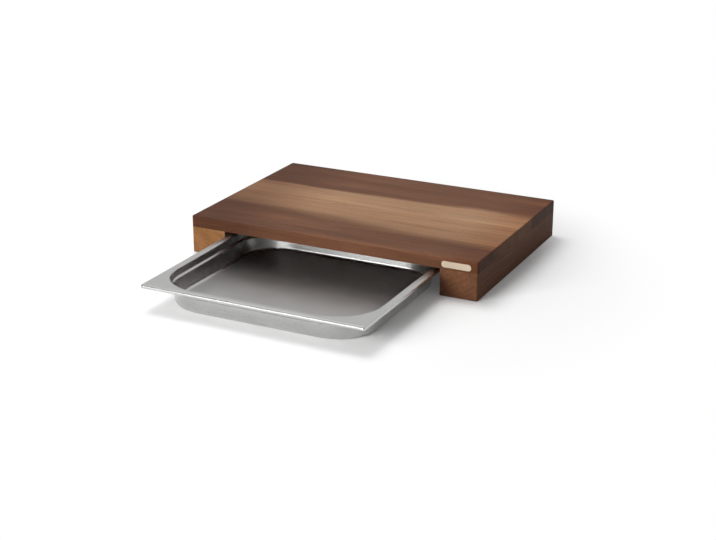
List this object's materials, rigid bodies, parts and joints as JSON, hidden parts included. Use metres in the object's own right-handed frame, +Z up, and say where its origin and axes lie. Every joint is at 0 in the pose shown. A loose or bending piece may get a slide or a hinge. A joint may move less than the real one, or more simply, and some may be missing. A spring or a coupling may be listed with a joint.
{
  "type": "cutting board with tray",
  "caption": "Wooden cutting board raised on rails over a pressed steel tray that slides out from under it to catch cut food.",
  "frame": {"origin": "on the worktop, at the bottom centre of the whole thing's box with the tray drawn out as stored", "axes": "+X to the right seen from the tray's side, +Y from the tray towards the board's back, +Z up"},
  "size_m": [0.48, 0.562, 0.06],
  "materials": {
    "front_plank": "oiled",
    "rear_plank": "oiled",
    "left_rail": "oiled",
    "right_rail": "oiled",
    "dowel": "raw beech",
    "badge": "fine brushed",
    "tape": "adhesive foam",
    "tray_steel": "satin"
  },
  "bodies": {
    "board": {"front_plank": "front_plank", "rear_plank": "rear_plank", "left_rail": "left_rail", "right_rail": "right_rail", "left_rail_dowels": "dowel", "right_rail_dowels": "dowel", "badge_plate": "badge", "badge_tape": "tape"},
    "tray": {"tray": "tray_steel"}
  },
  "joints": [
    {"name": "tray_slide", "type": "slide", "parent": "board", "child": "tray", "axis": [0, -1, 0], "range_m": [-0.237, 0.1]}
  ]
}
